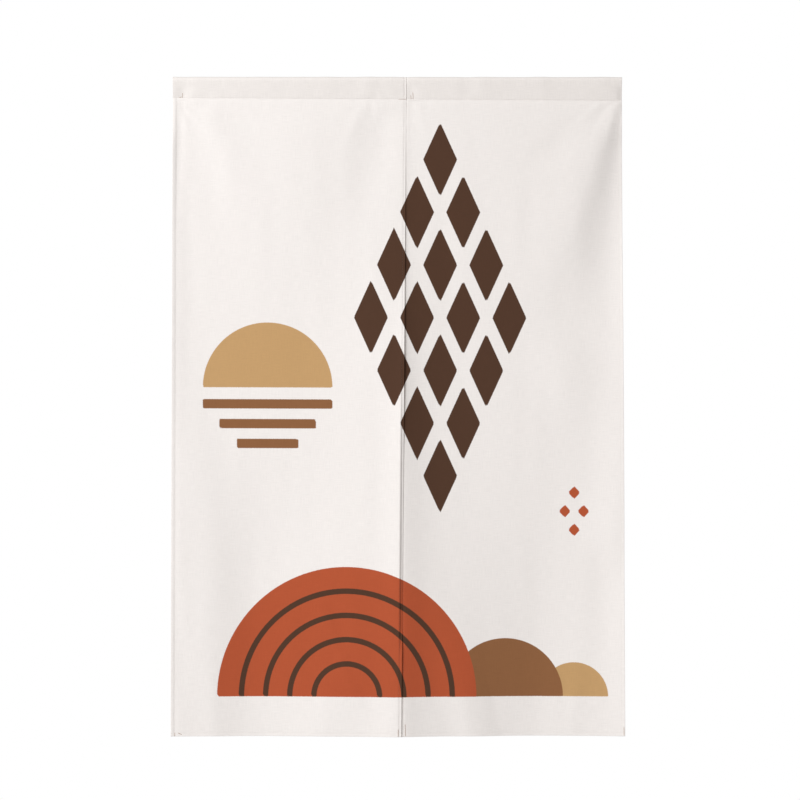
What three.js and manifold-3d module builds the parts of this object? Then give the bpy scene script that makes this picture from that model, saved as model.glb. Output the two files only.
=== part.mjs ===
// A noren: a split doorway curtain, shown as it hangs from a rod that is not part of it.
// Two panels of plain woven cloth hang side by side, and the left one laps over the right.
// Their tops are turned to the back, lapped and sewn together as one heading, which is a
// tunnel that the rod slides through. The panels hang below its seam in shallow, uneven
// folds that start at the corners and grow towards the hem. Sides and lower edges are
// turned to the back and stitched, so the cloth is two layers thick there.
// Millimetres, +Z up, -Y towards the viewer. The origin is the middle of the top edge.

import * as THREE from "three";
import { mergeVertices } from "three/addons/utils/BufferGeometryUtils.js";
import Module from "manifold-3d";

const wasm = await Module();
wasm.setup();

// Driving dimensions
const width = 817; // the heading, from side to side
const drop = 1200; // from the top edge to the lower edge
const panelWidth = { left: 425, right: 400 }; // each finished panel, laid flat
const cloth = 1.2; // one layer
const hem = { side: 8, bottom: 9, extraLayers: 1, step: 1 }; // turned and stitched edges
const tunnel = { depth: 41, bore: 5.4, pinch: 0.5, seam: 3, slope: 0.0061 }; // takes the rod
const gap = 0.3; // between pieces that are sewn together
const grid = { columns: 30, rows: 36, crowding: 1.35, arcSteps: 7 }; // fineness of the mesh

// Worked out from them
const halfWidth = width / 2;
const lap = { from: halfWidth - panelWidth.right, to: panelWidth.left - halfWidth };
const rodCentre = -(tunnel.bore + 2 * cloth);

// The seam under the tunnel runs a little lower towards the viewer's right.
const seamAt = (x) => tunnel.depth + tunnel.slope * x;

const colour = { panel: 0xf3eee9, heading: 0xe9e4df };
const clothFinish = { roughness: 0.92, metalness: 0 };

// Where each panel's sides lie at the top and at the hem. Near the slit, the left panel
// comes forward over the right one, and the right one goes back by a little over a thickness.
const panels = {
  left: {
    leftEdge: { top: -halfWidth, hem: -halfWidth - 3.5 },
    rightEdge: { top: lap.to, hem: lap.to - 9.2 },
    lapping: { from: -150, to: 4, back: -cloth },
  },
  right: {
    leftEdge: { top: lap.from, hem: lap.from - 3 },
    rightEdge: { top: halfWidth, hem: halfWidth + 6 },
    lapping: { from: 200, to: 20, back: cloth + 2 * gap },
  },
};

// Folds, one a row. Each runs down from (x, depth) "from" to "to", straight or bowed by the
// power bow. left and right are its half-widths on the two sides of the crest, at its start
// and end. A positive height stands towards the viewer. It rises over the length rise, and
// where the row names a fall, it dies away over that length.
const leftFolds = [
  { from: [-348, 45], to: [-270, 300], left: [18, 38], right: [18, 75], height: 1.5, rise: 25, fall: 160 },
  { from: [-167, 42], to: [-182, 460], left: [80, 160], right: [100, 55], height: 2.2, rise: 60, fall: 330 },
  { from: [-19, 50], to: [-88, 333], left: [34, 46], right: [26, 50], height: -1.9, rise: 35, fall: 170 },
  { from: [-432, 60], to: [-450, 1200], left: [22, 26], right: [28, 90], height: 6.5, rise: 80 },
  { from: [-200, 600], to: [-278, 1200], bow: 0.5, left: [60, 50], right: [130, 100], height: -4.5, rise: 300 },
  { from: [-370, 520], to: [-325, 1200], left: [72, 33], right: [26, 60], height: 2.5, rise: 200 },
  { from: [-56, 950], to: [-139, 1200], left: [12, 42], right: [100, 38], height: 1.3, rise: 120 },
  { from: [18, 60], to: [-4, 1200], left: [74, 150], right: [64, 84], height: 9, rise: 560 },
  { from: [30, 300], to: [14, 1200], left: [22, 48], right: [30, 30], height: 6, rise: 320 },
];
const rightFolds = [
  { from: [395, 49], to: [248, 461], left: [66, 48], right: [26, 32], height: 1.8, rise: 45, fall: 230 },
  { from: [417, 49], to: [362, 488], left: [22, 60], right: [48, 150], height: -6.2, rise: 85, fall: 200 },
  { from: [358, 56], to: [234, 184], left: [32, 32], right: [42, 92], height: -1.2, rise: 30, fall: 60 },
  { from: [-13, 60], to: [5, 1200], left: [60, 60], right: [38, 112], height: 5.9, rise: 560 },
  { from: [-20, 100], to: [-3, 1200], left: [40, 40], right: [24, 58], height: 7, rise: 520 },
  { from: [287, 442], to: [333, 661], left: [50, 40], right: [12, 132], height: 2.8, rise: 100, fall: 110 },
  { from: [311, 640], to: [257, 1200], bow: 0.6, left: [158, 92], right: [78, 140], height: -9, rise: 400 },
  { from: [67, 880], to: [139, 1200], left: [47, 30], right: [38, 47], height: 2.8, rise: 260 },
  { from: [0, 960], to: [2, 1200], left: [40, 40], right: [22, 30], height: 1.9, rise: 170 },
  { from: [388, 807], to: [383, 1200], left: [34, 61], right: [50, 47], height: -5, rise: 120 },
  { from: [460, 150], to: [429, 1200], left: [24, 108], right: [40, 50], height: 9, rise: 150 },
];
const folds = { left: leftFolds, right: rightFolds };

const mix = (a, b, t) => a + (b - a) * t;
const share = (from, to, value) => THREE.MathUtils.clamp((value - from) / (to - from), 0, 1);
const easedShare = (from, to, value) => THREE.MathUtils.smoothstep(share(from, to, value), 0, 1);

// How far one fold carries the cloth towards the viewer at a point of the curtain's face.
function foldHeight({ from, to, bow = 1, left, right, height, rise, fall = 0 }, x, depth) {
  const along = share(from[1], to[1], depth);
  const crest = mix(from[0], to[0], along ** bow);
  const spread = (x - crest) / mix(...(x < crest ? left : right), along);
  const rising = easedShare(from[1], from[1] + rise, depth);
  const falling = fall ? 1 - easedShare(to[1] - fall, to[1], depth) : 1;
  return height * Math.exp(-spread * spread) * rising * falling;
}

// The y of a panel's front face. Away from the slit it meets the seam flush with the heading.
function frontFace(side, x, depth) {
  const { from, to, back } = panels[side].lapping;
  const relief = folds[side].reduce((sum, fold) => sum + foldHeight(fold, x, depth), 0);
  return -cloth + back * easedShare(from, to, x) - relief;
}

// Grid lines along a length: two mark where the edge is turned, the rest lie between them.
function gridLines(length, startHem, endHem, count, crowding) {
  const start = startHem ? [0, startHem, startHem + hem.step] : [0];
  const end = [length - endHem - hem.step, length - endHem, length];
  const inner = [];
  for (let i = 1; i < count; i++) {
    inner.push(mix(start.at(-1), end[0], (i / count) ** crowding));
  }
  return [...start, ...inner, ...end];
}

// The cloth's thickness at a point of a panel, with the turned edges lying on the back.
function thickness(across, flatWidth, above) {
  const edge = Math.min(across, flatWidth - across);
  const side = 1 - easedShare(hem.side, hem.side + hem.step, edge);
  const bottom = 1 - easedShare(hem.bottom, hem.bottom + hem.step, above);
  return cloth * (1 + hem.extraLayers * Math.max(side, bottom));
}

// A panel is a flat box whose grid points are carried to the hanging cloth's two faces.
function panelGeometry(side) {
  const { leftEdge, rightEdge } = panels[side];
  const flatWidth = panelWidth[side];
  const length = drop - tunnel.depth;
  const columns = gridLines(flatWidth, hem.side, hem.side, grid.columns, 1);
  const rows = gridLines(length, 0, hem.bottom, grid.rows, grid.crowding);
  const [across, down] = [columns.length - 1, rows.length - 1];
  const geometry = new THREE.BoxGeometry(across, down, cloth, across, down, 1);
  const points = geometry.getAttribute("position");
  for (let i = 0; i < points.count; i++) {
    const flatX = columns[Math.round(points.getX(i) + across / 2)];
    const below = rows[Math.round(down / 2 - points.getY(i))] / length;
    const hang = mix(tunnel.depth, drop, below) / drop;
    const left = mix(leftEdge.top, leftEdge.hem, hang);
    const right = mix(rightEdge.top, rightEdge.hem, hang);
    const x = mix(left, right, flatX / flatWidth);
    const depth = mix(seamAt(x) + gap, drop, below);
    const front = frontFace(side, x, depth);
    const behind = points.getZ(i) < 0 ? thickness(flatX, flatWidth, drop - depth) : 0;
    points.setXYZ(i, x, front + behind, -depth);
  }
  return geometry;
}

// The line of the tunnel's wall in its cross-section: round over the rod, then straight to
// the seam, where it ends at the distance foot on each side of the middle.
function wallLine(radius, foot, bottom) {
  const fall = bottom + rodCentre;
  const lean = Math.asin(radius / Math.hypot(foot, fall)) - Math.atan2(foot, fall);
  const line = new THREE.Path();
  line.absarc(0, rodCentre, radius, -lean, Math.PI + lean, false);
  line.lineTo(-foot, -bottom);
  line.lineTo(foot, -bottom);
  return line.getPoints(grid.arcSteps);
}

// One stretch of the heading, from x = start to end, as a solid.
function headingStretch(start, end, inner, outer) {
  const section = new THREE.Shape(wallLine(outer, outer - inner, tunnel.depth));
  section.holes.push(new THREE.Path(wallLine(inner, tunnel.pinch, tunnel.depth - tunnel.seam)));
  const geometry = new THREE.ExtrudeGeometry(section, { depth: end - start, bevelEnabled: false });
  // The section's x and y become y and z, and it is extruded along x.
  geometry.rotateY(Math.PI / 2).rotateX(Math.PI / 2).translate(start, 0, 0);
  geometry.deleteAttribute("normal").deleteAttribute("uv");
  const merged = mergeVertices(geometry);
  const vertProperties = merged.getAttribute("position").array;
  const triVerts = merged.index.array;
  return new wasm.Manifold(new wasm.Mesh({ numProp: 3, vertProperties, triVerts }));
}

// The heading has one layer of cloth on each side, and two where the panels lap.
function headingGeometry() {
  const { bore } = tunnel;
  const left = headingStretch(-halfWidth, lap.from, bore + cloth, bore + 2 * cloth);
  const middle = headingStretch(lap.from, lap.to, bore, bore + 2 * cloth);
  const right = headingStretch(lap.to, halfWidth, bore, bore + cloth);
  const mesh = left.add(middle).add(right).getMesh();
  const points = new THREE.BufferAttribute(mesh.vertProperties, 3);
  // Below the rod the section is stretched to follow the seam's slope.
  for (let i = 0; i < points.count; i++) {
    const below = easedShare(rodCentre, -tunnel.depth, points.getZ(i));
    points.setZ(i, points.getZ(i) - below * (seamAt(points.getX(i)) - tunnel.depth));
  }
  const geometry = new THREE.BufferGeometry().setAttribute("position", points);
  return geometry.setIndex(new THREE.BufferAttribute(mesh.triVerts, 1));
}

function clothPiece(name, geometry, color) {
  const material = new THREE.MeshStandardMaterial({ name: `${name}_cloth`, color, ...clothFinish });
  const piece = new THREE.Mesh(geometry, material);
  piece.name = name;
  return piece;
}

const noren = new THREE.Group();
noren.add(clothPiece("heading", headingGeometry(), colour.heading));
for (const side of Object.keys(panels)) {
  noren.add(clothPiece(`${side}_panel`, panelGeometry(side), colour.panel));
}

export default noren;
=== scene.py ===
"""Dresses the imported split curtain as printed, woven cloth with turned hems and stitching.

Lengths in the tables are millimetres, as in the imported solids: x to the viewer's right,
depth down from the top edge, and y away from the viewer.
"""

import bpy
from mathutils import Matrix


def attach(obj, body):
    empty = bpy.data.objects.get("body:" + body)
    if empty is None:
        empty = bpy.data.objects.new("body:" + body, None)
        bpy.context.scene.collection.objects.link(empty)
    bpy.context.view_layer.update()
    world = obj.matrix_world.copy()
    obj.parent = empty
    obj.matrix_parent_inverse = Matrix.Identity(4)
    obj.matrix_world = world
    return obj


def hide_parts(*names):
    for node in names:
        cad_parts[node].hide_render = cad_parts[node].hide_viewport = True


bl_info = {
    "name": "Noren curtain",
    "version": (1, 0, 0),
    "blender": (4, 5, 0),
    "location": "View3D > Sidebar > Noren",
    "description": "Builds the cloths, hems, stitches and print of a split doorway curtain",
    "category": "Add Mesh",
}

import math
from collections import namedtuple

import bpy
import numpy as np
from bpy.props import FloatProperty, FloatVectorProperty, IntProperty, PointerProperty
from mathutils import Vector

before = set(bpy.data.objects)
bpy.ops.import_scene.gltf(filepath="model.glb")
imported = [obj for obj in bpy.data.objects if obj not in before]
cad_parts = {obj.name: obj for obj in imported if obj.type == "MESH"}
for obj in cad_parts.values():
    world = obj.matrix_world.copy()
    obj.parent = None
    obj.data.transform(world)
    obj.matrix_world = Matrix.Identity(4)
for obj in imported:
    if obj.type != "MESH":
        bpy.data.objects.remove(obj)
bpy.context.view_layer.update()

MM = 0.001

# The hanging shape
WIDTH = 817.0  # the heading, from side to side
DROP = 1200.0  # from the top edge to the lower edge
PANEL_WIDTH = {"left": 425.0, "right": 400.0}  # each finished panel, laid flat
HALF = WIDTH / 2
LAP = (HALF - PANEL_WIDTH["right"], PANEL_WIDTH["left"] - HALF)
CLOTH = 1.2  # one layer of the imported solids
SEAM_DEPTH, SEAM_SLOPE = 41.0, 0.0061
LOOP_DEPTH = 6.6  # the middle of the loop round the rod
LOOP_TOP = {"left": 6.6, "right": 6.3}  # from the loop's middle to its top
LOOP_FRONT = 6.6  # from the loop's middle to its front and back
FOOT_BELOW = {"front": 0.8, "back": 2.6}  # how far the heading's two edges reach below the seam
FOOT_TUCK = 0.3  # how far the heading's front edge stands in from the panels' front
BACK_FOOT = {"left": 1.2, "right": 0.9}  # how far its back edge stands behind its middle
UNDER_LAP, UNDER_TOP = 0.8, 1.25  # how far the right panel goes in and down under the left one
HEM_STITCH = {"side": 6.2, "slit": 4.4, "bottom": 6.0}  # in from the edge
THREAD_LIFT = 0.05  # how far a row of stitches stands off the cloth
HEADING_SUNK = 0.05  # how far the rows on the heading's front sink into it
SEAM_PULL, SEAM_PULL_REACH = 0.45, 6.0  # how far the seam draws the panels in, and how far down
NO_DYE = 40.0  # the distance that stands for plain cloth

Edge = namedtuple("Edge", "top hem")
Lapping = namedtuple("Lapping", "start end back")
Panel = namedtuple("Panel", "left right lapping")
PANELS = {
    "left": Panel(Edge(-HALF, -HALF - 3.5), Edge(LAP[1], LAP[1] - 9.2), Lapping(-150, 4, -1.2)),
    "right": Panel(Edge(LAP[0], LAP[0] - 3.0), Edge(HALF, HALF + 6), Lapping(200, 20, 1.8)),
}

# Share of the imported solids' lap that this thinner cloth keeps: at the seam, and what is added
# down the slit, where the left panel's edge bends back, and at the foot.
LAP_KEPT = {"seam": 0.2, "middle": 0.2, "bent": -0.05, "foot": 0.2}

# The groove along the outer stitches: its reach towards the edge and inwards, and its share
# on the right panel. Then the step down outside the stitches at the slit, and at its foot.
GROOVE_REACH, RIGHT_GROOVE = (1.3, 6.0), 0.15
SLIT_STEP = {"middle": 0.35, "foot": 0.3}
ROW_REACH = 1.5  # half the breadth of the groove along the other rows

# Each fold runs down from start to end, both (x, depth). left and right are its half-widths
# beside the crest, at its start and end. A positive height stands towards the viewer.
Fold = namedtuple("Fold", "start end bow left right height rise fall")
FOLDS = {
    "left": [
        Fold((-348, 45), (-270, 300), 1.0, (18, 38), (18, 75), 1.5, 25, 160),
        Fold((-167, 42), (-182, 460), 1.0, (80, 160), (100, 55), 2.2, 60, 330),
        Fold((-19, 50), (-88, 333), 1.0, (34, 46), (26, 50), -1.9, 35, 170),
        Fold((-432, 60), (-450, 1200), 1.0, (22, 26), (28, 90), 6.5, 80, 0),
        Fold((-200, 600), (-278, 1200), 0.5, (60, 50), (130, 100), -4.5, 300, 0),
        Fold((-370, 520), (-325, 1200), 1.0, (72, 33), (26, 60), 2.5, 200, 0),
        Fold((-56, 950), (-139, 1200), 1.0, (12, 42), (100, 38), 1.3, 120, 0),
        Fold((18, 60), (-4, 1200), 1.0, (74, 150), (64, 84), 9, 560, 0),
        Fold((30, 300), (14, 1200), 1.0, (22, 48), (30, 30), 6, 320, 0),
    ],
    "right": [
        Fold((395, 49), (248, 461), 1.0, (66, 48), (26, 32), 1.8, 45, 230),
        Fold((417, 49), (362, 488), 1.0, (22, 60), (48, 150), -6.2, 85, 200),
        Fold((358, 56), (234, 184), 1.0, (32, 32), (42, 92), -1.2, 30, 60),
        Fold((-13, 60), (5, 1200), 1.0, (60, 60), (38, 112), 5.9, 560, 0),
        Fold((-20, 100), (-3, 1200), 1.0, (40, 40), (24, 58), 7, 520, 0),
        Fold((287, 442), (333, 661), 1.0, (50, 40), (12, 132), 2.8, 100, 110),
        Fold((311, 640), (257, 1200), 0.6, (158, 92), (78, 140), -9, 400, 0),
        Fold((67, 880), (139, 1200), 1.0, (47, 30), (38, 47), 2.8, 260, 0),
        Fold((0, 960), (2, 1200), 1.0, (40, 40), (22, 30), 1.9, 170, 0),
        Fold((388, 807), (383, 1200), 1.0, (34, 61), (50, 47), -5, 120, 0),
        Fold((460, 150), (429, 1200), 1.0, (24, 108), (40, 50), 9, 150, 0),
    ],
}

# Fine creases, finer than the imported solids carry: pulls at the top corners, the strained
# lines beside the slit, and the ripple along the hems.
CREASES = {
    "left": [
        Fold((-404, 43), (-404, 150), 1.0, (8, 8), (13, 13), 1.2, 3, 80),
        Fold((-393, 41), (-402, 300), 1.0, (9, 5), (7, 9), -1.0, 3, 200),
        Fold((-402, 46), (-372, 128), 0.9, (4, 9), (4, 8), 0.55, 8, 60),
        Fold((-398, 44), (-330, 118), 0.9, (5, 10), (4, 9), 0.5, 8, 60),
        Fold((-380, 44), (-300, 96), 0.9, (5, 10), (5, 10), -0.4, 8, 40),
        Fold((-44, 44), (-52, 96), 1.0, (5, 8), (4, 7), -0.55, 6, 40),
        Fold((-60, 46), (-110, 190), 0.8, (8, 16), (8, 14), 0.5, 20, 110),
        Fold((-160, 900), (-60, 1170), 1.0, (10, 12), (10, 12), 0.5, 90, 60),
        Fold((-120, 980), (-30, 1190), 1.0, (16, 22), (16, 22), -0.4, 90, 60),
        Fold((-400, 900), (-392, 1150), 1.0, (9, 10), (9, 10), -0.4, 60, 60),
    ],
    "right": [
        Fold((412, 44), (400, 116), 1.0, (5, 9), (3, 5), -1.0, 6, 60),
        Fold((398, 46), (376, 150), 0.8, (4, 9), (4, 8), 0.6, 8, 70),
        Fold((388, 46), (330, 150), 0.8, (5, 12), (5, 10), -0.45, 8, 70),
        Fold((372, 46), (300, 120), 0.9, (6, 12), (6, 10), 0.45, 8, 50),
        Fold((24, 42), (19, 420), 1.0, (6, 7), (34, 34), -0.7, 2, 120),
        Fold((36, 44), (58, 130), 1.0, (5, 12), (6, 12), 0.4, 8, 60),
        Fold((150, 1040), (190, 1196), 1.0, (10, 12), (10, 12), -0.5, 80, 0),
        Fold((330, 1060), (318, 1196), 1.0, (12, 14), (12, 14), 0.5, 80, 0),
    ],
}


def mix(start, end, share):
    return start + (end - start) * share


def eased(start, end, value):
    """Share of the way from start to end, easing in and out."""
    share = np.clip((value - start) / (end - start), 0.0, 1.0)
    return share * share * (3 - 2 * share)


def fold_height(fold, x, depth):
    """How far one fold carries the cloth towards the viewer."""
    along = np.clip((depth - fold.start[1]) / (fold.end[1] - fold.start[1]), 0.0, 1.0)
    crest = mix(fold.start[0], fold.end[0], along**fold.bow)
    spread = (x - crest) / np.where(x < crest, mix(*fold.left, along), mix(*fold.right, along))
    rising = eased(fold.start[1], fold.start[1] + fold.rise, depth)
    falling = 1 - eased(fold.end[1] - fold.fall, fold.end[1], depth) if fold.fall else 1.0
    return fold.height * np.exp(-spread * spread) * rising * falling


def seam_at(x):
    """Depth of the heading's seam."""
    return SEAM_DEPTH + SEAM_SLOPE * x


def pucker(x, away, sizes):
    """The small gathers along the heading's seam, at a distance away from the seam."""
    rng = np.random.default_rng(sizes.pucker_seed)
    height = np.zeros(np.broadcast(x, away).shape)
    place = -HALF - 10
    while place < HALF + 20:
        width, reach = rng.uniform(4.5, 8.5), rng.uniform(7.0, 22.0)
        lean, tall = rng.uniform(-0.45, 0.45), rng.uniform(-0.8, 1.0)
        spread = (x - place - lean * away) / width
        height += tall * np.exp(-spread * spread - away / reach)
        place += rng.uniform(13.0, 24.0)
    return sizes.pucker_height / MM * height * (1 - np.exp(-away / 2.5))


def softness(x, depth, seed):
    """Slight, broad unevenness of a hanging cloth."""
    rng = np.random.default_rng(seed)
    height = np.zeros(np.broadcast(x, depth).shape)
    for length in (95.0, 70.0, 52.0, 38.0):
        for _ in range(3):
            turn, phase = rng.uniform(-0.5, 0.5), rng.uniform(0, math.tau)
            wave = (x * math.cos(turn) + depth * 0.35 * math.sin(turn)) * math.tau / length
            height += length / 95.0 * np.sin(wave + phase + 1.4 * np.sin(depth / 140.0 + phase))
    return height


def tucked(side, x, depth):
    """Share of the way that the right panel has gone in under the left one's edge."""
    if side == "left":
        return 0.0 * x
    return 1 - eased(-1.3, 0.1, x - mix(*PANELS["left"].right, depth / DROP))


def bent(depth):
    """Share of the left panel's edge bending back at the slit, by depth."""
    return eased(470, 720, depth) * (1 - eased(990, 1060, depth))


def lapped(side, x, depth):
    """How far a panel stands back beside the slit."""
    lapping = PANELS[side].lapping
    kept = LAP_KEPT["seam"] + LAP_KEPT["middle"] * eased(150, 400, depth)
    kept = kept + LAP_KEPT["bent"] * bent(depth) + LAP_KEPT["foot"] * eased(990, 1060, depth)
    return kept * lapping.back * eased(lapping.start, lapping.end, x) + UNDER_LAP * tucked(side, x, depth)


def stitch_insets(depth):
    """How far the stitches run from the outer edge, and from the edge at the slit."""
    outer = HEM_STITCH["side"] + 1.0 * (1 - eased(80, 280, depth))
    return outer, HEM_STITCH["slit"] + 1.0 * eased(980, 1100, depth)


def hem_dents(side, across, depth, sizes):
    """How far the cloth is drawn back along its hem stitches. Outside them, the left panel's
    edge at the slit lies a little lower, and in the middle of its height it bends back."""
    from_right = PANEL_WIDTH[side] - across
    outer, at_slit = (across, from_right) if side == "left" else (from_right, across)
    uneven = 0.8 + 0.2 * np.sin(depth / 3.7 + 2.0 * np.sin(depth / 19.0)) * np.sin(depth / 11.0)
    outer_stitch, stitch = stitch_insets(depth)
    spread = (outer - outer_stitch) / np.where(outer < outer_stitch, *GROOVE_REACH)
    groove = np.exp(-spread * spread)
    if side == "right":
        groove = RIGHT_GROOVE * groove + np.exp(-(((at_slit - HEM_STITCH["slit"]) / ROW_REACH) ** 2))
    level = np.exp(-(((DROP - depth - HEM_STITCH["bottom"]) / ROW_REACH) ** 2))
    dent = sizes.hem_dent / MM * (uneven * groove + 0.5 * (0.8 + 0.2 * np.sin(across / 3.9)) * level)
    if side == "left":
        strip = 1 - eased(stitch - 1.0, stitch + 0.5, at_slit)
        lean = 1 + 0.3 * np.clip(1 - at_slit / stitch, 0, 1)
        step = SLIT_STEP["middle"] + SLIT_STEP["foot"] * eased(980, 1100, depth)
        dent = dent + strip * (step * uneven + sizes.bent_edge / MM * bent(depth) * lean)
    return dent


def front_face(side, x, depth, sizes):
    """The y of a panel's front face."""
    relief = sum(fold_height(fold, x, depth) for fold in FOLDS[side] + CREASES[side])
    away = np.maximum(depth - seam_at(x), 0.0)
    relief += pucker(x, away, sizes)
    relief += 0.05 * softness(x, depth, sizes.pucker_seed + 1) * eased(0, 120, away)
    relief -= SEAM_PULL * np.exp(-((away / SEAM_PULL_REACH) ** 2))
    return -CLOTH + lapped(side, x, depth) - relief


def hem_profile(width, layer):
    """Distances in from a turned edge and layer offsets behind the front, from the inner
    edge of the turned strip, round the fold, to the same distance on the front."""
    steps = [width * share for share in (1.0, 0.86, 0.68, 0.5, 0.33, 0.18, 0.09)]
    back = [(step, layer) for step in steps]
    bend = [(layer / 2 * (1 - abs(math.sin(turn)) ** 0.5),
             layer * (1 + math.copysign(abs(math.cos(turn)) ** 0.5, math.cos(turn))) / 2)
            for turn in np.linspace(0, math.pi, 7)]
    front = [(step, 0.0) for step in reversed(steps)]
    return back + bend + front


def panel_columns(side, sizes):
    """Distance across the flat cloth, and layer offset, of each grid column."""
    width, hem = PANEL_WIDTH[side], sizes.side_hem / MM
    layer = sizes.layer / MM
    profile = hem_profile(hem, layer)
    count = round((width - 2 * hem) / (sizes.grid / MM))
    inner = np.linspace(hem, width - hem, count + 1)[1:-1]
    across = [d for d, _ in profile] + list(inner) + [width - d for d, _ in reversed(profile)]
    offset = [a for _, a in profile] + [0.0] * len(inner) + [a for _, a in reversed(profile)]
    return np.array(across), np.array(offset)


def panel_rows(sizes):
    """Distance below the seam, or above the hem's fold, of each grid row, with its turn."""
    length, hem = DROP - SEAM_DEPTH, sizes.bottom_hem / MM
    top = [-0.65, 0.1, 0.8, 1.6, 2.6, 3.8, 5.2, 6.8, 8.6, 10.6, 12.8, 15.2, 18.0, 21.0, 24.4]
    count = round((length - hem - top[-1]) / (sizes.grid / MM))
    field = list(np.linspace(top[-1], length - hem, count + 1)[1:])
    near = [hem * share for share in (0.82, 0.62, 0.43, 0.26, 0.14)]
    rows = [(d, 0.0) for d in top + field] + [(length - d, 0.0) for d in near]
    rows += [(length, turn) for turn in np.linspace(0, math.pi, 9)]
    rows += [(length - d, math.pi) for d in reversed(near)] + [(length - hem, math.pi)]
    return np.array(rows)


def panel_points(side, sizes):
    """The mid-surface of one panel, rows by columns, and its flat position."""
    across, offset = panel_columns(side, sizes)
    below, turn = panel_rows(sizes).T
    width, layer = PANEL_WIDTH[side], sizes.layer / MM
    hem_side = sizes.side_hem / MM
    x = panel_x(side, across[None, :], SEAM_DEPTH + below[:, None])
    seam = seam_at(x)
    share = below[:, None] / (DROP - SEAM_DEPTH)
    depth = seam + np.maximum(share, 0) * (DROP - seam) + np.minimum(below[:, None], 0)
    inside = np.minimum(across, width - across)
    stack = layer * (1 + 2 * (1 - eased(hem_side, hem_side + 3.0, inside)))
    swing = (1 - np.cos(turn))[:, None] / 2
    behind = (1 - swing) * offset + swing * (stack - offset)
    lift = stack / 2 - np.maximum(stack / 2 - offset, 0.05) * np.sin(turn)[:, None]
    at_bottom = below[:, None] >= DROP - SEAM_DEPTH - 1e-6
    depth = depth - np.where(at_bottom, lift, 0.0)
    y = front_face(side, x, depth, sizes) + sizes.thickness / MM / 2 + behind
    y = y + hem_dents(side, across[None, :], depth, sizes)
    hem_depth = np.where(turn > math.pi / 2, 2 * (DROP - SEAM_DEPTH) - below, below)
    flat = np.stack(np.broadcast_arrays(x, SEAM_DEPTH + hem_depth[:, None]), axis=-1)
    return np.stack([x, y, -depth], axis=-1), flat


def panel_x(side, across, depth):
    """The x of a point of the flat panel, at the distance across it."""
    left, right = (mix(*edge, depth / DROP) for edge in PANELS[side][:2])
    return mix(left, right, across / PANEL_WIDTH[side])


def heading_path(side, x, sizes):
    """The heading's section at each x: y, depth and outward direction, from the back foot,
    over the top, to the front foot. Arrays are path points by columns."""
    half = sizes.thickness / MM / 2
    tuck = tucked(side, x, SEAM_DEPTH)
    back = lapped(side, x, SEAM_DEPTH)
    wrap = LOOP_FRONT - half - back
    tall = LOOP_TOP[side] - half - UNDER_TOP * tuck
    foot = {
        "front": CLOTH - back - half - FOOT_TUCK,
        "back": BACK_FOOT[side] * (1 + eased(-60, 4, x)) - half,
    }
    fall = {face: seam_at(x) + FOOT_BELOW[face] - LOOP_DEPTH for face in foot}
    lean = {
        face: np.arcsin(wrap / np.hypot(foot[face], fall[face])) - np.arctan2(foot[face], fall[face])
        for face in foot
    }
    turns = np.linspace(0, 1, 19)[:, None]
    turn = (math.pi + lean["back"]) * (1 - turns) - lean["front"] * turns
    level = np.sign(np.cos(turn)) * np.abs(np.cos(turn)) ** 0.7
    arc = np.stack([-wrap * level, LOOP_DEPTH - tall * np.sin(turn), turn])
    steps = np.array([0, 0.8, 1.6, 2.6, 3.8, 5.2, 7.0, 9.0, 11.5, 14.5, 18.0, 22.0, 26.0, 30.0])
    steps = np.append(steps / 33.5, 1.0)[:-1, None]

    def wall(face, sign):
        end = arc[:, 0] if face == "back" else arc[:, -1]
        start_y, start_depth = sign * foot[face], LOOP_DEPTH + fall[face]
        y = start_y + (end[0] - start_y) * steps
        return np.stack([y, start_depth + (end[1] - start_depth) * steps, end[2] + 0 * steps])

    back, front = wall("back", 1), wall("front", -1)
    y, depth, turn = np.concatenate([back, arc, front[:, ::-1]], axis=1)
    return y, depth, -np.cos(turn), -np.sin(turn)


# Dents in the heading's front at its corners and at the slit. Each deepens from start to end.
Dent = namedtuple("Dent", "x left right start end deep")
HEADING_DENTS = {
    "left": [Dent(-391, 12, 12, 2, 38, 1.7), Dent(-40, 7, 5, 14, 40, 0.5), Dent(12.8, 1.0, 2.4, -1, 0, 0.35)],
    "right": [Dent(24, 6, 12, 2, 30, 0.9), Dent(409, 7, 3, 10, 28, 1.4), Dent(62, 9, 9, 14, 40, 0.3)],
}


def heading_relief(side, x, depth, front, sizes):
    """How far the heading's cloth stands out from its plain section."""
    away = np.abs(np.where(front, FOOT_BELOW["front"], FOOT_BELOW["back"]) + seam_at(x) - depth)
    relief = 0.8 * pucker(x + 3.0, away, sizes) - 0.15 * np.exp(-((away / 4.0) ** 2))
    relief = relief + 0.09 * softness(x, depth, sizes.pucker_seed + 2) * eased(0, 12, away)
    relief = relief - 0.5 * eased(-0.8, 0.0, depth - seam_at(x)) * front
    for dent in HEADING_DENTS[side]:
        spread = (x - dent.x) / np.where(x < dent.x, dent.left, dent.right)
        relief = relief - dent.deep * np.exp(-spread * spread) * eased(dent.start, dent.end, depth) * front
    return relief


def heading_points(side, sizes):
    """The mid-surface of one panel's share of the heading, and its flat position."""
    across, offset = panel_columns(side, sizes)
    x = panel_x(side, across, 0.0 * across)
    y, depth, out_y, out_depth = heading_path(side, x, sizes)
    front = np.arange(len(y))[:, None] >= len(y) // 2
    outward = heading_relief(side, x[None, :], depth, front, sizes) - offset
    y = y + out_y * outward
    depth = depth + out_depth * outward
    flat = np.stack(np.broadcast_arrays(x[None, :], np.where(front, depth, -depth)), axis=-1)
    return np.stack(np.broadcast_arrays(x[None, :], y, -depth), axis=-1), flat


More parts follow.
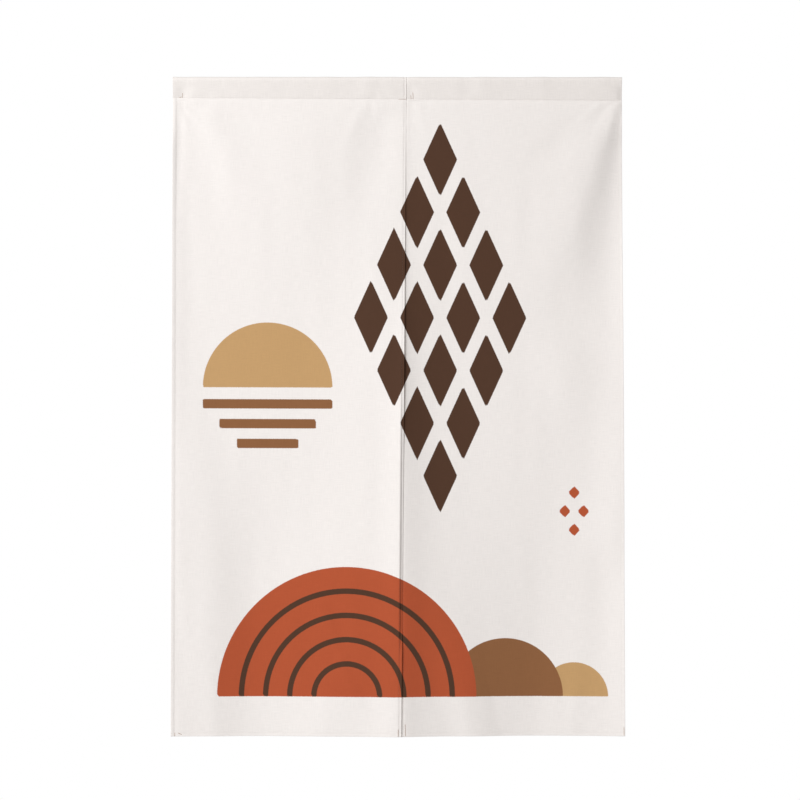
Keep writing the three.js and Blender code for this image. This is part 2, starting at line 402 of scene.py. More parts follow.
# A generic print in four dyes. Places are (x, depth) on the flat front of the curtain. The
# discs and rings are cut flat at their middle's depth.
Disc = namedtuple("Disc", "dye x depth radius")
DISCS = [
    Disc("tan", 322, 1128, 62),
    Disc("brown", 196, 1128, 106),
    Disc("rust", -92, 1128, 236),
    Disc("tan", -236, 566, 118),
]
Ring = namedtuple("Ring", "dye x depth radius line")
RINGS = [Ring("dark", -92, 1128, radius, 10) for radius in (192, 148, 104, 60)]
Bar = namedtuple("Bar", "dye x depth length thick")
BARS = [
    Bar("brown", -236, 596, 236, 17),
    Bar("brown", -236, 632, 176, 17),
    Bar("brown", -236, 668, 112, 17),
]
Lozenges = namedtuple("Lozenges", "dye x depth pitch_x pitch_depth half_x half_depth rows")
LOZENGES = [
    Lozenges("dark", 78, 438, 84, 96, 31, 68, 4),
    Lozenges("rust", 322, 790, 34, 34, 11, 12, 2),
]
DYES = ("tan", "brown", "rust", "dark")


def print_distances(flat):
    """How far each point lies outside each dye's shapes, negative inside, in millimetres."""
    x, depth = flat[..., 0], flat[..., 1]
    out = {dye: np.full(x.shape, NO_DYE) for dye in DYES}

    def add(dye, distance):
        out[dye] = np.minimum(out[dye], distance)

    for disc in DISCS:
        outside = np.hypot(x - disc.x, depth - disc.depth) - disc.radius
        add(disc.dye, np.maximum(outside, depth - disc.depth))
    for ring in RINGS:
        band = np.abs(np.hypot(x - ring.x, depth - ring.depth) - ring.radius) - ring.line / 2
        add(ring.dye, np.maximum(band, depth - ring.depth))
    for bar in BARS:
        beside = np.abs(x - bar.x) - bar.length / 2
        add(bar.dye, np.maximum(beside, np.abs(depth - bar.depth) - bar.thick / 2))
    for group in LOZENGES:
        lean = math.hypot(1 / group.half_x, 1 / group.half_depth)
        for row in range(-group.rows + 1, group.rows):
            centre_depth = group.depth + row * group.pitch_depth
            count = group.rows - abs(row)
            for place in range(count):
                centre_x = group.x + (place - (count - 1) / 2) * group.pitch_x
                size = np.abs(x - centre_x) / group.half_x + np.abs(depth - centre_depth) / group.half_depth
                add(group.dye, (size - 1) / lean)
    return out


def grid_faces(rows, columns, start):
    """The four-sided faces of a grid whose points begin at start."""
    first = start + np.arange(rows - 1)[:, None] * columns + np.arange(columns - 1)
    return np.stack([first, first + columns, first + columns + 1, first + 1], axis=-1).reshape(-1, 4)


def add_dye_distances(mesh, distances):
    """Keep each dye's distances on the mesh, where the print reads them."""
    for dye, distance in distances.items():
        attribute = mesh.attributes.new(f"outside_{dye}", "FLOAT", "POINT")
        attribute.data.foreach_set("value", distance.astype(np.float32))


def cloth_object(name, sheets, materials, sizes):
    """One object of one or more sheets, each (points, flat), with the print's distances."""
    points = np.concatenate([sheet[0].reshape(-1, 3) for sheet in sheets]) * MM
    flat = np.concatenate([sheet[1].reshape(-1, 2) for sheet in sheets])
    faces, start = [], 0
    for sheet, _ in sheets:
        faces.append(grid_faces(*sheet.shape[:2], start))
        start += sheet.shape[0] * sheet.shape[1]
    faces = np.concatenate(faces)
    mesh = bpy.data.meshes.new(name)
    mesh.from_pydata(points.tolist(), [], faces.tolist())
    mesh.polygons.foreach_set("use_smooth", np.ones(len(faces), dtype=bool))
    layer = mesh.uv_layers.new(name="flat_cloth")
    layer.data.foreach_set("uv", (flat[faces.reshape(-1)] * MM).reshape(-1).astype(np.float32))
    add_dye_distances(mesh, print_distances(flat))
    for material in materials:
        mesh.materials.append(material)
    piece = bpy.data.objects.new(name, mesh)
    bpy.context.collection.objects.link(piece)
    solidify = piece.modifiers.new("Cloth thickness", "SOLIDIFY")
    solidify.thickness = sizes.thickness
    solidify.offset = 0.0
    solidify.material_offset = 1
    return piece


def node(tree, kind, values=None, **settings):
    """A node with its settings, and its inputs linked or set."""
    made = tree.nodes.new(kind)
    for name, value in settings.items():
        setattr(made, name, value)
    for key, value in (values or {}).items():
        if isinstance(value, bpy.types.NodeSocket):
            tree.links.new(value, made.inputs[key])
        else:
            made.inputs[key].default_value = value
    return made


def maths(tree, operation, *values):
    return node(tree, "ShaderNodeMath", dict(enumerate(values)), operation=operation).outputs[0]


def product(tree, colour, factor):
    """A colour or vector times another, or times a value."""
    return node(tree, "ShaderNodeVectorMath", {0: colour, 1: factor}, operation="MULTIPLY").outputs[0]


def socket(tree, name, direction, kind, default=None):
    """A named input or output of a node group."""
    made = tree.interface.new_socket(name=name, in_out=direction, socket_type=f"NodeSocket{kind}")
    if default is not None:
        made.default_value = default


def weave_group():
    """A plain weave of warp and weft with slubs: its height, and its change of tone."""
    group = bpy.data.node_groups.new("Plain weave", "ShaderNodeTree")
    socket(group, "Flat", "INPUT", "Vector")
    socket(group, "Thread", "INPUT", "Float", 0.0007)
    socket(group, "Slubs", "INPUT", "Float", 0.5)
    socket(group, "Height", "OUTPUT", "Float")
    socket(group, "Tone", "OUTPUT", "Float")
    given = node(group, "NodeGroupInput").outputs
    split = node(group, "ShaderNodeSeparateXYZ", {0: given["Flat"]}).outputs
    waves = []
    for way in split[:2]:
        turn = maths(group, "MULTIPLY", maths(group, "DIVIDE", way, given["Thread"]), math.pi)
        waves.append(maths(group, "SINE", turn))
    over = maths(group, "MULTIPLY", *waves)
    tops = []
    for wave, half in zip(waves, (0.5, -0.5)):
        shown = maths(group, "MULTIPLY_ADD", over, half, 0.5)
        tops.append(maths(group, "MULTIPLY", maths(group, "ABSOLUTE", wave), shown))
    thread = maths(group, "MAXIMUM", *tops)
    streaks = []
    for scale in ((1250.0, 46.0, 1.0), (52.0, 1150.0, 1.0)):
        place = product(group, given["Flat"], scale)
        noise = node(group, "ShaderNodeTexNoise", {"Vector": place, "Scale": 1.0, "Detail": 2.0})
        streaks.append(maths(group, "SUBTRACT", noise.outputs["Fac"], 0.5))
    slub = maths(group, "MULTIPLY", maths(group, "ADD", *streaks), given["Slubs"])
    node(group, "NodeGroupOutput", {"Height": maths(group, "ADD", thread, slub), "Tone": slub})
    return group


def dye_group():
    """The print: each dye laid over the cloth where the cloth carries its shapes."""
    group = bpy.data.node_groups.new("Printed dyes", "ShaderNodeTree")
    for name in ("Cloth", *(dye.title() for dye in DYES)):
        socket(group, name, "INPUT", "Color")
    socket(group, "Strength", "INPUT", "Float", 1.0)
    socket(group, "Bleed", "INPUT", "Float", 0.0)
    socket(group, "Colour", "OUTPUT", "Color")
    socket(group, "Dyed", "OUTPUT", "Float")
    given = node(group, "NodeGroupInput").outputs
    colour, dyed = given["Cloth"], None
    for dye in DYES:
        distance = node(group, "ShaderNodeAttribute", attribute_name=f"outside_{dye}").outputs["Fac"]
        edge = maths(group, "ADD", distance, given["Bleed"])
        values = {"Value": edge, "From Min": 0.5, "From Max": -0.5}
        mask = node(group, "ShaderNodeMapRange", values).outputs[0]
        dyed = mask if dyed is None else maths(group, "MAXIMUM", dyed, mask)
        mask = maths(group, "MULTIPLY", mask, given["Strength"])
        laid = node(group, "ShaderNodeMix", {0: mask, 6: colour, 7: given[dye.title()]}, data_type="RGBA")
        colour = laid.outputs[2]
    node(group, "NodeGroupOutput", {"Colour": colour, "Dyed": dyed})
    return group


def new_material(name):
    """An empty material, and its node tree."""
    material = bpy.data.materials.new(name)
    material.use_nodes = True
    material.node_tree.nodes.clear()
    return material, material.node_tree


def dye_node(tree, base, look, strength, bleed=0.0):
    """The print over a base colour. strength is how much of the dye reaches the face, and
    bleed moves the dyes' edges, in millimetres."""
    group = bpy.data.node_groups.get("Printed dyes") or dye_group()
    values = {dye.title(): (*getattr(look, dye), 1.0) for dye in DYES}
    values.update({"Cloth": (*base, 1.0), "Strength": strength, "Bleed": bleed})
    return node(tree, "ShaderNodeGroup", values, node_tree=group).outputs


def cloth_material(name, strength, look, tint):
    """Printed woven cloth, a little smoother on its threads' tops and where it is dyed."""
    material, tree = new_material(name)
    flat = node(tree, "ShaderNodeUVMap", uv_map="flat_cloth").outputs[0]
    group = bpy.data.node_groups.get("Plain weave") or weave_group()
    values = {"Flat": flat, "Thread": look.thread, "Slubs": look.slubs}
    weave = node(tree, "ShaderNodeGroup", values, node_tree=group).outputs
    fuzz = node(tree, "ShaderNodeTexNoise", {"Vector": flat, "Scale": 420.0, "Detail": 1.0}).outputs["Fac"]
    bleed = maths(tree, "MULTIPLY_ADD", fuzz, look.fuzz / MM, -look.fuzz / MM / 2)
    # tint darkens the base colour; on the heading it is painted shade.
    base = [part * share for part, share in zip(look.cloth, tint)]
    dyes = dye_node(tree, base, look, strength, bleed)
    tone = maths(tree, "MULTIPLY_ADD", weave["Tone"], look.tone, 1.0)
    shade = product(tree, dyes["Colour"], tone)
    bump = node(tree, "ShaderNodeBump", {
        "Strength": look.weave_bump, "Distance": 0.0002, "Height": weave["Height"],
    }).outputs[0]
    rough = maths(tree, "MULTIPLY_ADD", weave["Height"], -0.06, 0.93)
    rough = maths(tree, "MULTIPLY_ADD", dyes["Dyed"], -0.05, rough)
    shader = node(tree, "ShaderNodeBsdfPrincipled", {
        "Base Color": shade, "Roughness": rough, "Normal": bump,
        "Specular IOR Level": 0.2, "Sheen Weight": 0.12, "Sheen Roughness": 0.5,
    })
    node(tree, "ShaderNodeOutputMaterial", {0: shader.outputs[0]})
    return material


def thread_material(name, colour, look):
    """Sewing thread, with its twist. The print lies over it as it does over the cloth."""
    material, tree = new_material(name)
    place = node(tree, "ShaderNodeTexCoord").outputs["Object"]
    twist = node(tree, "ShaderNodeTexWave", {"Vector": place, "Scale": 900.0, "Distortion": 1.5},
                 bands_direction="DIAGONAL").outputs["Fac"]
    fade = node(tree, "ShaderNodeTexNoise", {"Vector": place, "Scale": 60.0}).outputs["Fac"]
    shade = maths(tree, "MULTIPLY_ADD", fade, 0.3, 0.82)
    tint = product(tree, dye_node(tree, colour, look, look.thread_dye)["Colour"], shade)
    bump = node(tree, "ShaderNodeBump", {"Strength": 0.4, "Distance": 0.0001, "Height": twist}).outputs[0]
    rough = maths(tree, "MULTIPLY_ADD", twist, 0.12, 0.55)
    shader = node(tree, "ShaderNodeBsdfPrincipled", {
        "Base Color": tint, "Roughness": rough, "Normal": bump, "Sheen Weight": 0.1,
    })
    node(tree, "ShaderNodeOutputMaterial", {0: shader.outputs[0]})
    return material


def stitch_tree():
    """Lays one stitch after another along the guide's edges."""
    tree = bpy.data.node_groups.new("Stitch rows", "GeometryNodeTree")
    socket(tree, "Geometry", "INPUT", "Geometry")
    socket(tree, "Pitch", "INPUT", "Float", 0.003)
    socket(tree, "Length", "INPUT", "Float", 0.0022)
    socket(tree, "Thickness", "INPUT", "Float", 0.00045)
    socket(tree, "Waver", "INPUT", "Float", 0.1)
    socket(tree, "Seed", "INPUT", "Int", 3)
    socket(tree, "Thread", "INPUT", "Material")
    socket(tree, "Geometry", "OUTPUT", "Geometry")
    given = node(tree, "NodeGroupInput").outputs
    curve = node(tree, "GeometryNodeMeshToCurve", {0: given["Geometry"]}).outputs[0]
    values = {"Curve": curve, "Length": given["Pitch"]}
    row = node(tree, "GeometryNodeResampleCurve", values, mode="LENGTH").outputs[0]
    tangent = node(tree, "GeometryNodeInputTangent").outputs[0]
    outward = node(tree, "GeometryNodeInputNamedAttribute", {"Name": "outward"},
                   data_type="FLOAT_VECTOR").outputs[0]
    turned = node(tree, "FunctionNodeAlignRotationToVector", {"Vector": tangent}, axis="X").outputs[0]
    turned = node(tree, "FunctionNodeAlignRotationToVector", {"Rotation": turned, "Vector": outward},
                  axis="Z", pivot_axis="X").outputs[0]
    values = {2: maths(tree, "MULTIPLY", given["Waver"], -1.0), 3: given["Waver"], "Seed": given["Seed"]}
    waver = node(tree, "FunctionNodeRandomValue", values, data_type="FLOAT")
    yaw = node(tree, "ShaderNodeCombineXYZ", {2: waver.outputs[1]}).outputs[0]
    turned = node(tree, "FunctionNodeRotateRotation", {0: turned, 1: yaw}, rotation_space="LOCAL").outputs[0]
    bead = node(tree, "GeometryNodeMeshIcoSphere", {"Radius": 0.5, "Subdivisions": 1}).outputs[0]
    shape = node(tree, "ShaderNodeCombineXYZ", {
        0: given["Length"], 1: given["Thickness"], 2: maths(tree, "MULTIPLY", given["Thickness"], 0.75)})
    stitch = node(tree, "GeometryNodeTransform", {"Geometry": bead, "Scale": shape.outputs[0]}).outputs[0]
    values = {"Points": row, "Instance": stitch, "Rotation": turned}
    placed = node(tree, "GeometryNodeInstanceOnPoints", values)
    real = node(tree, "GeometryNodeRealizeInstances", {0: placed.outputs[0]}).outputs[0]
    smooth = node(tree, "GeometryNodeSetShadeSmooth", {"Geometry": real}).outputs[0]
    dressed = node(tree, "GeometryNodeSetMaterial", {"Geometry": smooth, "Material": given["Thread"]})
    node(tree, "NodeGroupOutput", {0: dressed.outputs[0]})
    return tree


def stitched(name, guides, thread, sizes, pitch=None, length=None, thickness=None):
    """One object of stitches along guides, each (points, outward) in millimetres."""
    points, outward = (np.concatenate(part) for part in zip(*guides))
    edges, start = [], 0
    for row, _ in guides:
        edges += [(start + i, start + i + 1) for i in range(len(row) - 1)]
        start += len(row)
    mesh = bpy.data.meshes.new(f"{name}_guide")
    mesh.from_pydata((points * MM).tolist(), edges, [])
    attribute = mesh.attributes.new("outward", "FLOAT_VECTOR", "POINT")
    attribute.data.foreach_set("vector", outward.astype(np.float32).reshape(-1))
    guide = bpy.data.objects.new(f"{name}_guide", mesh)
    bpy.context.collection.objects.link(guide)
    modifier = guide.modifiers.new("Stitch rows", "NODES")
    modifier.node_group = bpy.data.node_groups.get("Stitch rows") or stitch_tree()
    values = {
        "Pitch": pitch or sizes.pitch, "Length": length or sizes.length,
        "Thickness": thickness or sizes.thickness, "Waver": sizes.waver, "Seed": sizes.seed,
        "Thread": thread,
    }
    for item in modifier.node_group.interface.items_tree:
        if item.in_out == "INPUT" and item.name in values:
            modifier[item.identifier] = values[item.name]
    graph = bpy.context.evaluated_depsgraph_get()
    made = bpy.data.meshes.new_from_object(guide.evaluated_get(graph))
    made.name = name
    bpy.data.objects.remove(guide)
    bpy.data.meshes.remove(mesh)
    places, facing = np.empty(len(made.vertices) * 3), np.zeros(len(made.vertices) * 3)
    made.vertices.foreach_get("co", places)
    if made.attributes.get("outward"):
        made.attributes["outward"].data.foreach_get("vector", facing)
    places, on_back = places.reshape(-1, 3) / MM, facing.reshape(-1, 3)[:, 1] > 0
    distances = print_distances(np.stack([places[:, 0], -places[:, 2]], axis=-1))
    add_dye_distances(made, {dye: np.where(on_back, NO_DYE, far) for dye, far in distances.items()})
    piece = bpy.data.objects.new(name, made)
    bpy.context.collection.objects.link(piece)
    return piece


def panel_guide(side, across, depth, sizes, back_layers=None):
    """A row on a panel's front, or on its back behind that many layers."""
    x = panel_x(side, across, depth)
    y = front_face(side, x, depth, sizes) + hem_dents(side, across, depth, sizes)
    if back_layers is None:
        y, facing = y - THREAD_LIFT, -1.0
    else:
        y, facing = y + (back_layers * sizes.layer + sizes.thickness) / MM + THREAD_LIFT, 1.0
    points = np.stack(np.broadcast_arrays(x, y, -depth), axis=-1)
    outward = np.broadcast_to(np.array([0.0, facing, 0.0]), points.shape)
    return points, outward


def heading_guide(side, x, depth, sizes):
    """A row on the heading's front face."""
    y, path_depth, _, _ = heading_path(side, x, sizes)
    top = len(y) // 2
    level = np.array([np.interp(d, path_depth[top:, i], y[top:, i]) for i, d in enumerate(depth)])
    level = level - heading_relief(side, x, depth, True, sizes) - sizes.thickness / MM / 2 + HEADING_SUNK
    points = np.stack([x, level, -depth], axis=-1)
    return points, np.broadcast_to(np.array([0.0, -1.0, 0.0]), points.shape)


class NorenClothSettings(bpy.types.PropertyGroup):
    hem_dent: FloatProperty(name="Hem dent", description="How far the hem stitches draw the cloth in",
                            default=0.0006, min=0, unit="LENGTH", precision=5)
    bent_edge: FloatProperty(name="Bent edge", description="How far the left panel bends back at the slit",
                             default=0.0023, min=0, unit="LENGTH", precision=5)
    thickness: FloatProperty(name="Thickness", description="Thickness of one layer of cloth",
                             default=0.0005, min=0.0002, unit="LENGTH", precision=5)
    layer: FloatProperty(name="Layer", description="Distance between two layers sewn together",
                         default=0.0006, min=0.0002, unit="LENGTH", precision=5)
    side_hem: FloatProperty(name="Side hem", description="Width of the turned side edges",
                            default=0.008, min=0.003, unit="LENGTH", precision=4)
    bottom_hem: FloatProperty(name="Bottom hem", description="Width of the turned lower edge",
                              default=0.009, min=0.003, unit="LENGTH", precision=4)
    grid: FloatProperty(name="Grid", description="Spacing of the cloth's mesh",
                        default=0.0042, min=0.002, unit="LENGTH", precision=4)
    pucker_height: FloatProperty(name="Puckers", description="Height of the gathers at the seam",
                                 default=0.0006, min=0.0, unit="LENGTH", precision=5)
    pucker_seed: IntProperty(name="Pucker seed", description="Layout of the gathers at the seam", default=11)


class NorenLookSettings(bpy.types.PropertyGroup):
    cloth: FloatVectorProperty(name="Cloth", description="Colour of the undyed cloth", subtype="COLOR",
                               default=(0.853, 0.812, 0.79), min=0, max=1)
    # Painted shade: the heading's cloth is made a little darker than the panels' cloth, for the shade on its
    # front, which leans back towards the seam.
    heading_painted_shade: FloatVectorProperty(name="Stacked cloth", description="Tint of the heading's layers",
                                 subtype="COLOR", default=(0.975, 0.97, 0.965), min=0, max=1)
    tan: FloatVectorProperty(name="Tan", description="Lightest dye", subtype="COLOR",
                             default=(0.533, 0.323, 0.144), min=0, max=1)
    brown: FloatVectorProperty(name="Brown", description="Middle dye", subtype="COLOR",
                               default=(0.258, 0.112, 0.045), min=0, max=1)
    rust: FloatVectorProperty(name="Rust", description="Red-brown dye", subtype="COLOR",
                              default=(0.440, 0.084, 0.030), min=0, max=1)
    dark: FloatVectorProperty(name="Dark", description="Darkest dye", subtype="COLOR",
                              default=(0.076, 0.034, 0.018), min=0, max=1)
    thread: FloatProperty(name="Thread", description="Width of one woven thread", default=0.0007,
                          min=0.0002, unit="LENGTH", precision=5)
    slubs: FloatProperty(name="Slubs", description="How uneven the woven threads are", default=0.9, min=0)
    tone: FloatProperty(name="Tone", description="How far the slubs change the colour", default=0.16, min=0)
    weave_bump: FloatProperty(name="Weave relief", description="Strength of the weave's relief", default=0.35,
                              min=0, max=1)
    fuzz: FloatProperty(name="Dye fuzz", description="How far the dyes' edges stray", default=0.0009,
                        min=0, unit="LENGTH", precision=5)
    thread_dye: FloatProperty(name="Dye on thread", description="Share of the dye that the thread takes",
                              default=0.92, min=0, max=1, subtype="FACTOR")
    show_through: FloatProperty(name="Show-through", description="Share of the dye that shows on the back",
                                default=0.42, min=0, max=1, subtype="FACTOR")


class NorenStitchSettings(bpy.types.PropertyGroup):
    pitch: FloatProperty(name="Pitch", description="Distance from stitch to stitch", default=0.003,
                         min=0.001, unit="LENGTH", precision=4)
    length: FloatProperty(name="Length", description="Length of the thread that shows", default=0.0023,
                          min=0.0005, unit="LENGTH", precision=5)
    thickness: FloatProperty(name="Thickness", description="Thickness of the thread", default=0.00045,
                             min=0.0001, unit="LENGTH", precision=5)
    waver: FloatProperty(name="Waver", description="How far stitches stray from the row", default=0.10,
                         min=0, subtype="ANGLE")
    seed: IntProperty(name="Seed", description="Layout of the waver", default=5)
    colour: FloatVectorProperty(name="Thread", description="Colour of the sewing thread", subtype="COLOR",
                                default=(0.80, 0.74, 0.71), min=0, max=1)
    tack_pitch: FloatProperty(name="Tack pitch", description="Distance from stitch to stitch in a bar tack",
                              default=0.0007, min=0.0003, unit="LENGTH", precision=5)
    tack_length: FloatProperty(name="Tack length", description="Length of a bar tack's stitches",
                               default=0.0019, min=0.0005, unit="LENGTH", precision=5)
    tack_thickness: FloatProperty(name="Tack thickness", description="Thickness of the bar tacks",
                                  default=0.0009, min=0.0001, unit="LENGTH", precision=5)
    # The bar tacks' dark brown is partly their own thread and partly painted shade of the seam ends and the
    # folded hem corners.
    tack_colour_and_shade: FloatVectorProperty(name="Tack thread", description="Colour of the bar tacks",
                                     subtype="COLOR", default=(0.40, 0.27, 0.19), min=0, max=1)


class NorenStageSettings(bpy.types.PropertyGroup):
    distance: FloatProperty(name="Camera distance", description="From the camera to the curtain",
                            default=4.5, min=1, unit="LENGTH")
    frame_width: FloatProperty(name="Frame width", description="Width that the camera sees at the curtain",
                               default=1.4568, min=0.1, unit="LENGTH")
    key: FloatProperty(name="Key", description="Strength of the main light", default=1.97, min=0)
    softness: FloatProperty(name="Softness", description="Width of the main light as seen from the curtain",
                            default=math.radians(55), min=0, subtype="ANGLE")
    glow: FloatProperty(name="Glow", description="Power of the light on the upper left", default=33.0, min=0,
                        unit="POWER")
    rear: FloatProperty(name="Rear", description="Power of the soft light behind the curtain", default=6.5,
                        min=0, unit="POWER")
    fill: FloatProperty(name="Fill", description="Strength of the light from all sides", default=0.326, min=0)
    floor: FloatProperty(name="Floor", description="Height of the floor", default=-1.95, unit="LENGTH")


def cloth_materials(slot, look):
    """The materials of a cloth's front and back."""
    # The heading's materials take the painted shade, so they are darker than the panels' cloth.
    tint = look.heading_painted_shade if slot == "heading" else (1.0, 1.0, 1.0)
    strengths = {f"{slot}_cloth_front": 1.0, f"{slot}_cloth_back": look.show_through}
    return [bpy.data.materials.get(name) or cloth_material(name, strength, look, tint)
            for name, strength in strengths.items()]


class NOREN_OT_heading(bpy.types.Operator):
    """Build the tops of both panels, turned to the back round the rod tunnel"""

    bl_idname = "noren.heading"
    bl_label = "Heading"

    def execute(self, context):
        sizes, look = context.scene.noren_cloth, context.scene.noren_look
        sheets = [heading_points(side, sizes) for side in PANELS]
        piece = cloth_object("heading_cloth", sheets, cloth_materials("heading", look), sizes)
        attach(piece, "root")
        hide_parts("heading")
        return {"FINISHED"}


class NOREN_OT_panels(bpy.types.Operator):
    """Build the two hanging panels with their turned hems"""

    bl_idname = "noren.panels"
    bl_label = "Panels"

    def execute(self, context):
        sizes, look = context.scene.noren_cloth, context.scene.noren_look
        for side in PANELS:
            materials = cloth_materials("panel", look)
            piece = cloth_object(f"{side}_cloth", [panel_points(side, sizes)], materials, sizes)
            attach(piece, "root")
            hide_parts(f"{side}_panel")
        return {"FINISHED"}


SEAM_ROW_ABOVE = 0.8  # the seam's front row of stitches, up from the seam
SEAM_ROW_ON_BACK = 4  # the point of the heading's section that carries the back row

# Bar tacks, from start to end, both (x, depth): at the seam's ends, at the slit and in the
# corners of the hems.
# Their dark thread is partly painted shade of these ends and corners.
Tack = namedtuple("Tack", "side start end")
TACKS = [
    Tack("left", (-391, 30), (-391.5, 39)),
    Tack("left", (-404, 40.2), (-393.5, 36.5)),
    Tack("left", (3, 40.6), (15.5, 40.6)),
    Tack("right", (24.5, 34), (25.2, 40.4)),
    Tack("right", (28.4, 29), (28.8, 40.6)),
    Tack("left", (1.6, 1187), (1.4, 1198)),
    Tack("right", (14.2, 1178), (14.6, 1198)),
    Tack("left", (-404.6, 1194), (-404.8, 1199)),
    Tack("left", (-398.5, 1194), (-392.5, 1196.5)),
    Tack("right", (412.4, 1184), (412.6, 1198)),
]


class NOREN_OT_hem_stitches(bpy.types.Operator):
    """Sew the side and lower hems, front and back"""

    bl_idname = "noren.hem_stitches"
    bl_label = "Hem stitches"

    def execute(self, context):
        sizes, stitches = context.scene.noren_cloth, context.scene.noren_stitches
        thread = thread_material("sewing_thread", stitches.colour, context.scene.noren_look)
        for side, width in PANEL_WIDTH.items():
            down = np.linspace(SEAM_DEPTH + 4, DROP - 1.5, 300)
            outer, at_slit = stitch_insets(down)
            guides = []
            for across in ((outer, width - at_slit) if side == "left" else (at_slit, width - outer)):
                guides.append(panel_guide(side, across, down, sizes))
                guides.append(panel_guide(side, across, down, sizes, back_layers=1))
            along = np.linspace(1.0, width - 1.0, 120)
            level = DROP - HEM_STITCH["bottom"] + 0 * along
            guides.append(panel_guide(side, along, level, sizes))
            guides.append(panel_guide(side, along, level, sizes, back_layers=1))
            piece = stitched(f"{side}_hem_stitches", guides, thread, stitches)
            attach(piece, "root")
        return {"FINISHED"}


class NOREN_OT_seam_stitches(bpy.types.Operator):
    """Sew the seam under the rod tunnel and the slit through the heading"""

    bl_idname = "noren.seam_stitches"
    bl_label = "Seam stitches"

    def execute(self, context):
        sizes, stitches = context.scene.noren_cloth, context.scene.noren_stitches
        look = context.scene.noren_look
        thread = (bpy.data.materials.get("sewing_thread")
                  or thread_material("sewing_thread", stitches.colour, look))
        guides = []
        lift = sizes.thickness / MM / 2 + THREAD_LIFT
        for side in PANELS:
            start = 2.0 if side == "left" else PANEL_WIDTH["left"] - HALF - LAP[0] + 1.0
            across = np.linspace(start, PANEL_WIDTH[side] - 2.0, 200)
            x = panel_x(side, across, 0 * across)
            guides.append(heading_guide(side, x, seam_at(x) - SEAM_ROW_ABOVE, sizes))
            y, depth, out_y, _ = (part[SEAM_ROW_ON_BACK] for part in heading_path(side, x, sizes))
            relief = heading_relief(side, x, depth, False, sizes)
            points = np.stack([x, y + out_y * (relief + lift), -depth], axis=-1)
            guides.append((points, np.broadcast_to(np.array([0.0, 1.0, 0.0]), points.shape)))
        x = np.array([LAP[1] - HEM_STITCH["slit"]])
        y, depth, out_y, out_depth = heading_path("left", x, sizes)
        y, depth, out_y, out_depth = (part[len(y) // 2:-1, 0] for part in (y, depth, out_y, out_depth))
        above = heading_relief("left", x[0], depth, True, sizes) + lift
        points = np.stack([x[0] + 0 * y, y + out_y * above, -(depth + out_depth * above)], axis=-1)
        guides.append((points, np.stack([0 * y, out_y, -out_depth], axis=-1)))
        piece = stitched("heading_stitches", guides, thread, stitches)
        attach(piece, "root")
        return {"FINISHED"}


class NOREN_OT_bar_tacks(bpy.types.Operator):
    """Sew the short, close rows that hold the seams' ends"""

    bl_idname = "noren.bar_tacks"
    bl_label = "Bar tacks"

    def execute(self, context):
        sizes, stitches = context.scene.noren_cloth, context.scene.noren_stitches
        # The tack thread's dark brown is partly painted shade of the seam ends and the hem corners.
        thread = thread_material("tack_thread", stitches.tack_colour_and_shade, context.scene.noren_look)
        guides = []
        for tack in TACKS:
            x = np.linspace(tack.start[0], tack.end[0], 24)
            depth = np.linspace(tack.start[1], tack.end[1], 24)
            if tack.start[1] < SEAM_DEPTH:
                guides.append(heading_guide(tack.side, x, depth, sizes))
            else:
                left, right = (mix(*edge, depth / DROP) for edge in PANELS[tack.side][:2])
                across = (x - left) / (right - left) * PANEL_WIDTH[tack.side]
                guides.append(panel_guide(tack.side, across, depth, sizes))
        piece = stitched("bar_tacks", guides, thread, stitches, pitch=stitches.tack_pitch,
                         length=stitches.tack_length, thickness=stitches.tack_thickness)
        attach(piece, "root")
        return {"FINISHED"}


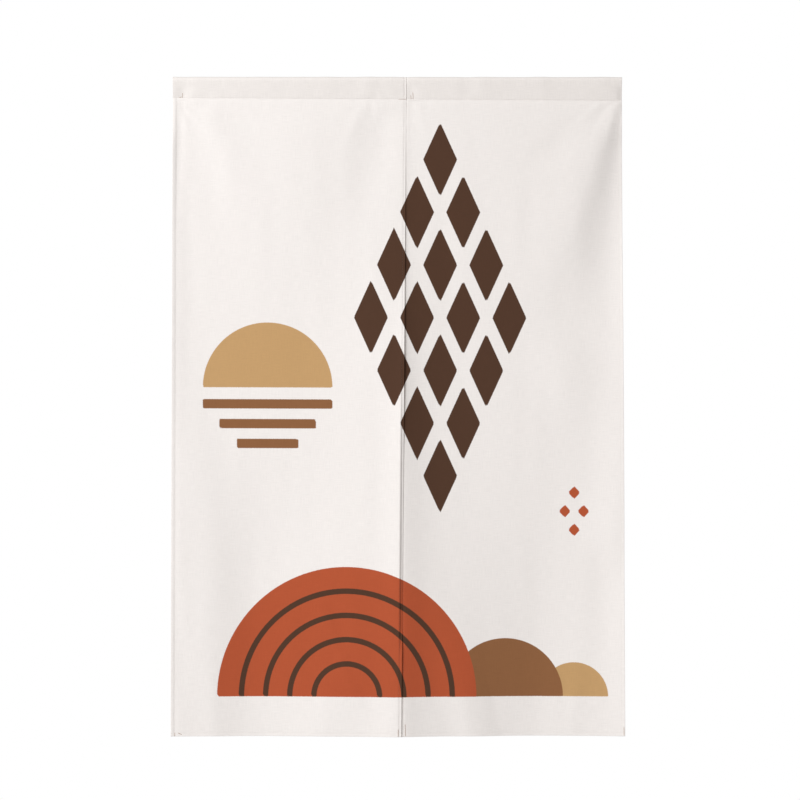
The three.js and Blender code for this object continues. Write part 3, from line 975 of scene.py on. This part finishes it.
class NOREN_OT_stage(bpy.types.Operator):
    """Set up the floor, the soft light and the camera"""

    bl_idname = "noren.stage"
    bl_label = "Stage"

    def execute(self, context):
        stage = context.scene.noren_stage
        scene = context.scene
        middle = Vector((0.0049, 0.0, -0.5882))
        camera = bpy.data.objects.new("camera", bpy.data.cameras.new("camera"))
        camera.location = middle - Vector((0, stage.distance, 0))
        camera.rotation_euler = (math.radians(90), 0, 0)
        camera.data.sensor_width = 36.0
        camera.data.lens = 36.0 * stage.distance / stage.frame_width
        scene.collection.objects.link(camera)
        scene.camera = camera

        disk = {"shape": "DISK"}
        cool = {"color": (0.965, 0.985, 1.0)}
        for name, kind, place, settings in (
            ("key", "SUN", (-3.5, -3.0, 0.75), {"angle": stage.softness}),
            ("glow", "AREA", (-1.75, -2.1, 0.45), {"size": 1.4, **disk, **cool}),
            ("rear", "AREA", (0.5, 3.3, -0.35), {"size": 1.2, "spread": math.radians(48), **disk}),
        ):
            light = bpy.data.lights.new(name, kind)
            light.energy = getattr(stage, name)
            for setting, value in settings.items():
                setattr(light, setting, value)
            lamp = bpy.data.objects.new(name, light)
            lamp.location = place
            lamp.rotation_euler = (middle - Vector(place)).to_track_quat("-Z", "Y").to_euler()
            scene.collection.objects.link(lamp)

        world = bpy.data.worlds.new("studio")
        scene.world = world
        world.use_nodes = True
        tree = world.node_tree
        tree.nodes.clear()
        seen = node(tree, "ShaderNodeLightPath").outputs["Is Camera Ray"]
        soft = node(tree, "ShaderNodeBackground", {"Color": (1, 0.962, 0.918, 1), "Strength": stage.fill})
        plain = node(tree, "ShaderNodeBackground", {"Color": (1, 1, 1, 1), "Strength": 1.0})
        mixed = node(tree, "ShaderNodeMixShader", {0: seen, 1: soft.outputs[0], 2: plain.outputs[0]})
        node(tree, "ShaderNodeOutputWorld", {0: mixed.outputs[0]})
        scene.view_settings.view_transform = "Standard"

        bpy.ops.mesh.primitive_circle_add(vertices=96, radius=3.0, fill_type="NGON",
                                          location=(0, 0, stage.floor))
        floor = context.object
        floor.name = "floor"
        pale, tree = new_material("floor_pale")
        place = node(tree, "ShaderNodeTexCoord").outputs["Object"]
        noise = node(tree, "ShaderNodeTexNoise", {"Vector": place, "Scale": 4.0}).outputs[0]
        tone = node(tree, "ShaderNodeMapRange", {"Value": noise, "To Min": 0.72, "To Max": 0.76}).outputs[0]
        shader = node(tree, "ShaderNodeBsdfPrincipled", {"Base Color": tone, "Roughness": 0.8})
        node(tree, "ShaderNodeOutputMaterial", {0: shader.outputs[0]})
        floor.data.materials.append(pale)
        return {"FINISHED"}


class NOREN_PT_sidebar(bpy.types.Panel):
    """Lists the curtain's sizes, colours and steps"""

    bl_idname = "NOREN_PT_sidebar"
    bl_label = "Noren curtain"
    bl_space_type = "VIEW_3D"
    bl_region_type = "UI"
    bl_category = "Noren"

    def draw(self, context):
        layout = self.layout
        for group in ("noren_cloth", "noren_look", "noren_stitches", "noren_stage"):
            settings = getattr(context.scene, group)
            box = layout.box()
            for name in settings.__annotations__:
                box.prop(settings, name)
        for operator in OPERATORS:
            layout.operator(operator.bl_idname)


GROUPS = {
    "noren_cloth": NorenClothSettings,
    "noren_look": NorenLookSettings,
    "noren_stitches": NorenStitchSettings,
    "noren_stage": NorenStageSettings,
}
OPERATORS = (NOREN_OT_heading, NOREN_OT_panels, NOREN_OT_hem_stitches, NOREN_OT_seam_stitches,
             NOREN_OT_bar_tacks, NOREN_OT_stage)
CLASSES = (*GROUPS.values(), *OPERATORS, NOREN_PT_sidebar)


def register():
    for cls in CLASSES:
        bpy.utils.register_class(cls)
    for name, group in GROUPS.items():
        setattr(bpy.types.Scene, name, PointerProperty(type=group))


def unregister():
    for name in GROUPS:
        delattr(bpy.types.Scene, name)
    for cls in reversed(CLASSES):
        bpy.utils.unregister_class(cls)


def main():
    register()
    bpy.ops.noren.heading()
    bpy.ops.noren.panels()
    bpy.ops.noren.hem_stitches()
    bpy.ops.noren.seam_stitches()
    bpy.ops.noren.bar_tacks()
    bpy.ops.noren.stage()


if __name__ == "__main__":
    main()
